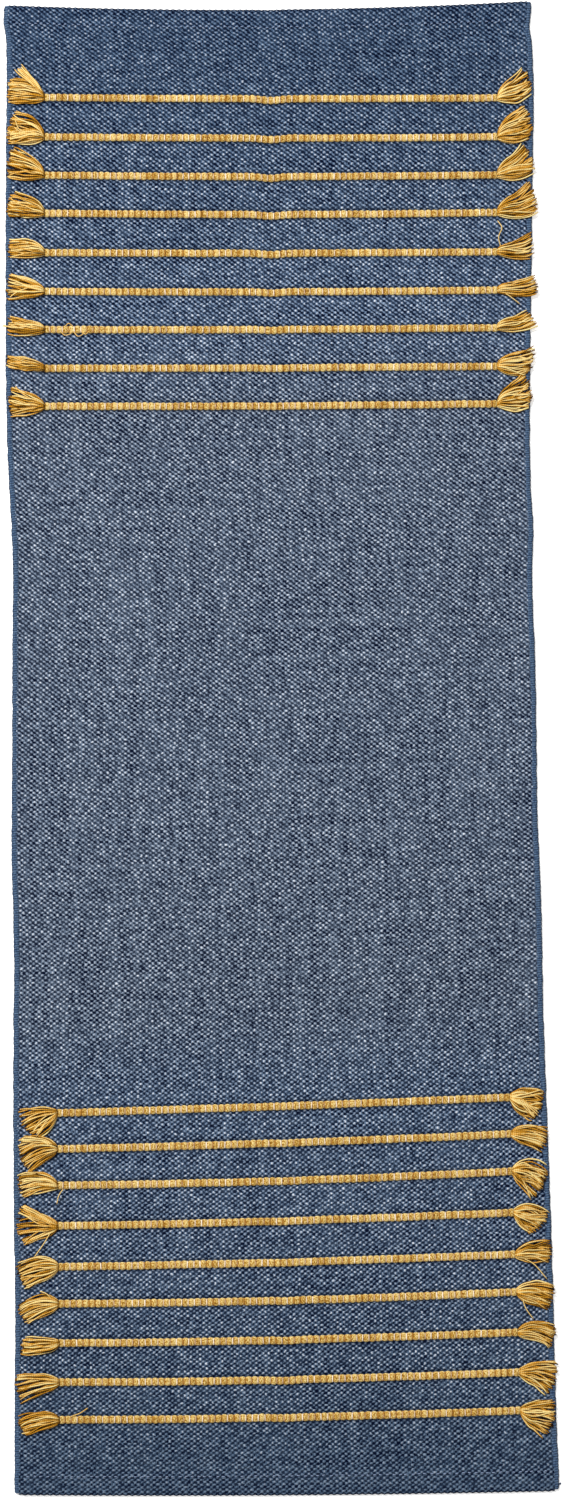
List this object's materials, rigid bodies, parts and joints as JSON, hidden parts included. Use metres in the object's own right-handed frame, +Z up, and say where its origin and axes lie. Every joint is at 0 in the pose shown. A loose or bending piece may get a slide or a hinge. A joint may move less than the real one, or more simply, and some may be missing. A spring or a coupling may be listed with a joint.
{
  "type": "runner rug",
  "caption": "Handwoven flat cotton runner: blue ground cloth with corded selvedges and turned hems, inlaid yellow stripes whose ends are loose tassels that lift.",
  "frame": {"origin": "on the floor, under the middle of the rug", "axes": "+X across the rug to its right side, +Y along the rug to its far end, +Z up from the floor"},
  "size_m": [0.772, 2.134, 0.0128],
  "materials": {
    "ground_weave": "plain-woven thick cotton yarn, indigo blue with pale flecks",
    "selvedge_cord": "smooth blue edge yarns, packed close",
    "turned_hem": "same weave as the ground, turned under and pressed",
    "stripe_bundle": "thick soft golden yellow cotton yarn, crossed by light warp threads",
    "tassel_yarn": "loose cut ends of golden yellow cotton yarn"
  },
  "bodies": {
    "rug": {"ground_cloth": "ground_weave", "left_selvedge": "selvedge_cord", "right_selvedge": "selvedge_cord", "far_hem": "turned_hem", "near_hem": "turned_hem", "stripe_far_1": "stripe_bundle", "stripe_far_2": "stripe_bundle", "stripe_far_3": "stripe_bundle", "stripe_far_4": "stripe_bundle", "stripe_far_5": "stripe_bundle", "stripe_far_6": "stripe_bundle", "stripe_far_7": "stripe_bundle", "stripe_far_8": "stripe_bundle", "stripe_far_9": "stripe_bundle", "stripe_near_1": "stripe_bundle", "stripe_near_2": "stripe_bundle", "stripe_near_3": "stripe_bundle", "stripe_near_4": "stripe_bundle", "stripe_near_5": "stripe_bundle", "stripe_near_6": "stripe_bundle", "stripe_near_7": "stripe_bundle", "stripe_near_8": "stripe_bundle", "stripe_near_9": "stripe_bundle"},
    "tassel_far_left_1": {"tassel_far_left_1": "tassel_yarn"},
    "tassel_far_left_2": {"tassel_far_left_2": "tassel_yarn"},
    "tassel_far_left_3": {"tassel_far_left_3": "tassel_yarn"},
    "tassel_far_left_4": {"tassel_far_left_4": "tassel_yarn"},
    "tassel_far_left_5": {"tassel_far_left_5": "tassel_yarn"},
    "tassel_far_left_6": {"tassel_far_left_6": "tassel_yarn"},
    "tassel_far_left_7": {"tassel_far_left_7": "tassel_yarn"},
    "tassel_far_left_8": {"tassel_far_left_8": "tassel_yarn"},
    "tassel_far_left_9": {"tassel_far_left_9": "tassel_yarn"},
    "tassel_far_right_1": {"tassel_far_right_1": "tassel_yarn"},
    "tassel_far_right_2": {"tassel_far_right_2": "tassel_yarn"},
    "tassel_far_right_3": {"tassel_far_right_3": "tassel_yarn"},
    "tassel_far_right_4": {"tassel_far_right_4": "tassel_yarn"},
    "tassel_far_right_5": {"tassel_far_right_5": "tassel_yarn"},
    "tassel_far_right_6": {"tassel_far_right_6": "tassel_yarn"},
    "tassel_far_right_7": {"tassel_far_right_7": "tassel_yarn"},
    "tassel_far_right_8": {"tassel_far_right_8": "tassel_yarn"},
    "tassel_far_right_9": {"tassel_far_right_9": "tassel_yarn"},
    "tassel_near_left_1": {"tassel_near_left_1": "tassel_yarn"},
    "tassel_near_left_2": {"tassel_near_left_2": "tassel_yarn"},
    "tassel_near_left_3": {"tassel_near_left_3": "tassel_yarn"},
    "tassel_near_left_4": {"tassel_near_left_4": "tassel_yarn"},
    "tassel_near_left_5": {"tassel_near_left_5": "tassel_yarn"},
    "tassel_near_left_6": {"tassel_near_left_6": "tassel_yarn"},
    "tassel_near_left_7": {"tassel_near_left_7": "tassel_yarn"},
    "tassel_near_left_8": {"tassel_near_left_8": "tassel_yarn"},
    "tassel_near_left_9": {"tassel_near_left_9": "tassel_yarn"},
    "tassel_near_right_1": {"tassel_near_right_1": "tassel_yarn"},
    "tassel_near_right_2": {"tassel_near_right_2": "tassel_yarn"},
    "tassel_near_right_3": {"tassel_near_right_3": "tassel_yarn"},
    "tassel_near_right_4": {"tassel_near_right_4": "tassel_yarn"},
    "tassel_near_right_5": {"tassel_near_right_5": "tassel_yarn"},
    "tassel_near_right_6": {"tassel_near_right_6": "tassel_yarn"},
    "tassel_near_right_7": {"tassel_near_right_7": "tassel_yarn"},
    "tassel_near_right_8": {"tassel_near_right_8": "tassel_yarn"},
    "tassel_near_right_9": {"tassel_near_right_9": "tassel_yarn"}
  },
  "joints": [
    {"name": "tassel_far_left_1_lift", "type": "hinge", "parent": "rug", "child": "tassel_far_left_1", "pos_m": [-0.3315, 0.9315, 0.0078], "axis": [0, 1, 0], "range_deg": [0, 140]},
    {"name": "tassel_far_left_2_lift", "type": "hinge", "parent": "rug", "child": "tassel_far_left_2", "pos_m": [-0.33181, 0.87502, 0.0078], "axis": [0, 1, 0], "range_deg": [0, 140]},
    {"name": "tassel_far_left_3_lift", "type": "hinge", "parent": "rug", "child": "tassel_far_left_3", "pos_m": [-0.33213, 0.81854, 0.0078], "axis": [0, 1, 0], "range_deg": [0, 140]},
    {"name": "tassel_far_left_4_lift", "type": "hinge", "parent": "rug", "child": "tassel_far_left_4", "pos_m": [-0.33244, 0.76206, 0.0078], "axis": [0, 1, 0], "range_deg": [0, 140]},
    {"name": "tassel_far_left_5_lift", "type": "hinge", "parent": "rug", "child": "tassel_far_left_5", "pos_m": [-0.33275, 0.70557, 0.0078], "axis": [0, 1, 0], "range_deg": [0, 140]},
    {"name": "tassel_far_left_6_lift", "type": "hinge", "parent": "rug", "child": "tassel_far_left_6", "pos_m": [-0.33306, 0.64909, 0.0078], "axis": [0, 1, 0], "range_deg": [0, 140]},
    {"name": "tassel_far_left_7_lift", "type": "hinge", "parent": "rug", "child": "tassel_far_left_7", "pos_m": [-0.33337, 0.59261, 0.0078], "axis": [0, 1, 0], "range_deg": [0, 140]},
    {"name": "tassel_far_left_8_lift", "type": "hinge", "parent": "rug", "child": "tassel_far_left_8", "pos_m": [-0.33369, 0.53613, 0.0078], "axis": [0, 1, 0], "range_deg": [0, 140]},
    {"name": "tassel_far_left_9_lift", "type": "hinge", "parent": "rug", "child": "tassel_far_left_9", "pos_m": [-0.334, 0.47965, 0.0078], "axis": [0, 1, 0], "range_deg": [0, 140]},
    {"name": "tassel_far_right_1_lift", "type": "hinge", "parent": "rug", "child": "tassel_far_right_1", "pos_m": [0.334, 0.9225, 0.0078], "axis": [0, -1, 0], "range_deg": [0, 140]},
    {"name": "tassel_far_right_2_lift", "type": "hinge", "parent": "rug", "child": "tassel_far_right_2", "pos_m": [0.333, 0.86658, 0.0078], "axis": [0, -1, 0], "range_deg": [0, 140]},
    {"name": "tassel_far_right_3_lift", "type": "hinge", "parent": "rug", "child": "tassel_far_right_3", "pos_m": [0.332, 0.81066, 0.0078], "axis": [0, -1, 0], "range_deg": [0, 140]},
    {"name": "tassel_far_right_4_lift", "type": "hinge", "parent": "rug", "child": "tassel_far_right_4", "pos_m": [0.331, 0.75474, 0.0078], "axis": [0, -1, 0], "range_deg": [0, 140]},
    {"name": "tassel_far_right_5_lift", "type": "hinge", "parent": "rug", "child": "tassel_far_right_5", "pos_m": [0.33, 0.69883, 0.0078], "axis": [0, -1, 0], "range_deg": [0, 140]},
    {"name": "tassel_far_right_6_lift", "type": "hinge", "parent": "rug", "child": "tassel_far_right_6", "pos_m": [0.329, 0.64291, 0.0078], "axis": [0, -1, 0], "range_deg": [0, 140]},
    {"name": "tassel_far_right_7_lift", "type": "hinge", "parent": "rug", "child": "tassel_far_right_7", "pos_m": [0.328, 0.58699, 0.0078], "axis": [0, -1, 0], "range_deg": [0, 140]},
    {"name": "tassel_far_right_8_lift", "type": "hinge", "parent": "rug", "child": "tassel_far_right_8", "pos_m": [0.327, 0.53107, 0.0078], "axis": [0, -1, 0], "range_deg": [0, 140]},
    {"name": "tassel_far_right_9_lift", "type": "hinge", "parent": "rug", "child": "tassel_far_right_9", "pos_m": [0.326, 0.47515, 0.0078], "axis": [0, -1, 0], "range_deg": [0, 140]},
    {"name": "tassel_near_left_1_lift", "type": "hinge", "parent": "rug", "child": "tassel_near_left_1", "pos_m": [-0.3225, -0.961, 0.0078], "axis": [0, 1, 0], "range_deg": [0, 140]},
    {"name": "tassel_near_left_2_lift", "type": "hinge", "parent": "rug", "child": "tassel_near_left_2", "pos_m": [-0.32256, -0.90729, 0.0078], "axis": [0, 1, 0], "range_deg": [0, 140]},
    {"name": "tassel_near_left_3_lift", "type": "hinge", "parent": "rug", "child": "tassel_near_left_3", "pos_m": [-0.32262, -0.85359, 0.0078], "axis": [0, 1, 0], "range_deg": [0, 140]},
    {"name": "tassel_near_left_4_lift", "type": "hinge", "parent": "rug", "child": "tassel_near_left_4", "pos_m": [-0.32269, -0.79988, 0.0078], "axis": [0, 1, 0], "range_deg": [0, 140]},
    {"name": "tassel_near_left_5_lift", "type": "hinge", "parent": "rug", "child": "tassel_near_left_5", "pos_m": [-0.32275, -0.74618, 0.0078], "axis": [0, 1, 0], "range_deg": [0, 140]},
    {"name": "tassel_near_left_6_lift", "type": "hinge", "parent": "rug", "child": "tassel_near_left_6", "pos_m": [-0.32281, -0.69247, 0.0078], "axis": [0, 1, 0], "range_deg": [0, 140]},
    {"name": "tassel_near_left_7_lift", "type": "hinge", "parent": "rug", "child": "tassel_near_left_7", "pos_m": [-0.32288, -0.63876, 0.0078], "axis": [0, 1, 0], "range_deg": [0, 140]},
    {"name": "tassel_near_left_8_lift", "type": "hinge", "parent": "rug", "child": "tassel_near_left_8", "pos_m": [-0.32294, -0.58506, 0.0078], "axis": [0, 1, 0], "range_deg": [0, 140]},
    {"name": "tassel_near_left_9_lift", "type": "hinge", "parent": "rug", "child": "tassel_near_left_9", "pos_m": [-0.323, -0.53135, 0.0078], "axis": [0, 1, 0], "range_deg": [0, 140]},
    {"name": "tassel_near_right_1_lift", "type": "hinge", "parent": "rug", "child": "tassel_near_right_1", "pos_m": [0.334, -0.956, 0.0078], "axis": [0, -1, 0], "range_deg": [0, 140]},
    {"name": "tassel_near_right_2_lift", "type": "hinge", "parent": "rug", "child": "tassel_near_right_2", "pos_m": [0.33313, -0.90111, 0.0078], "axis": [0, -1, 0], "range_deg": [0, 140]},
    {"name": "tassel_near_right_3_lift", "type": "hinge", "parent": "rug", "child": "tassel_near_right_3", "pos_m": [0.33225, -0.84621, 0.0078], "axis": [0, -1, 0], "range_deg": [0, 140]},
    {"name": "tassel_near_right_4_lift", "type": "hinge", "parent": "rug", "child": "tassel_near_right_4", "pos_m": [0.33137, -0.79132, 0.0078], "axis": [0, -1, 0], "range_deg": [0, 140]},
    {"name": "tassel_near_right_5_lift", "type": "hinge", "parent": "rug", "child": "tassel_near_right_5", "pos_m": [0.3305, -0.73642, 0.0078], "axis": [0, -1, 0], "range_deg": [0, 140]},
    {"name": "tassel_near_right_6_lift", "type": "hinge", "parent": "rug", "child": "tassel_near_right_6", "pos_m": [0.32963, -0.68153, 0.0078], "axis": [0, -1, 0], "range_deg": [0, 140]},
    {"name": "tassel_near_right_7_lift", "type": "hinge", "parent": "rug", "child": "tassel_near_right_7", "pos_m": [0.32875, -0.62664, 0.0078], "axis": [0, -1, 0], "range_deg": [0, 140]},
    {"name": "tassel_near_right_8_lift", "type": "hinge", "parent": "rug", "child": "tassel_near_right_8", "pos_m": [0.32788, -0.57174, 0.0078], "axis": [0, -1, 0], "range_deg": [0, 140]},
    {"name": "tassel_near_right_9_lift", "type": "hinge", "parent": "rug", "child": "tassel_near_right_9", "pos_m": [0.327, -0.51685, 0.0078], "axis": [0, -1, 0], "range_deg": [0, 140]}
  ]
}
